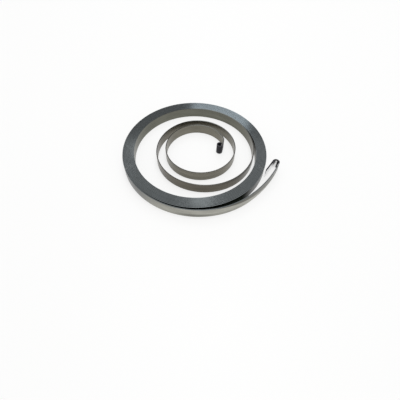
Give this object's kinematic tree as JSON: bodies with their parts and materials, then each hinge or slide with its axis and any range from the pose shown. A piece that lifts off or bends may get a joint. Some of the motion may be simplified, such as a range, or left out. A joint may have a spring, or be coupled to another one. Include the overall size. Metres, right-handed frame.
{
  "type": "recoil starter spring",
  "caption": "Flat spiral spring of steel strip on edge: a tight outer pack, free inner turns ending in a rolled eye, and an outer arm ending in a hook with a straight tail.",
  "frame": {"origin": "winding axis at the level of the strip's lower edge, which is where the spring rests", "axes": "+Z along the winding axis, up from the surface it lies on; +X from the winding axis towards the side where the outer hook ends; +Y away from the outer arm; seen from above the strip runs anticlockwise outwards"},
  "size_m": [0.0733, 0.0687, 0.005],
  "materials": {
    "spring_steel": "cold-rolled and tempered strip with dressed edges, faint lengthwise rolling lines and a thin film of oil, annealed dark at both ends"
  },
  "bodies": {
    "root": {"spring_strip": "spring_steel"}
  },
  "joints": []
}
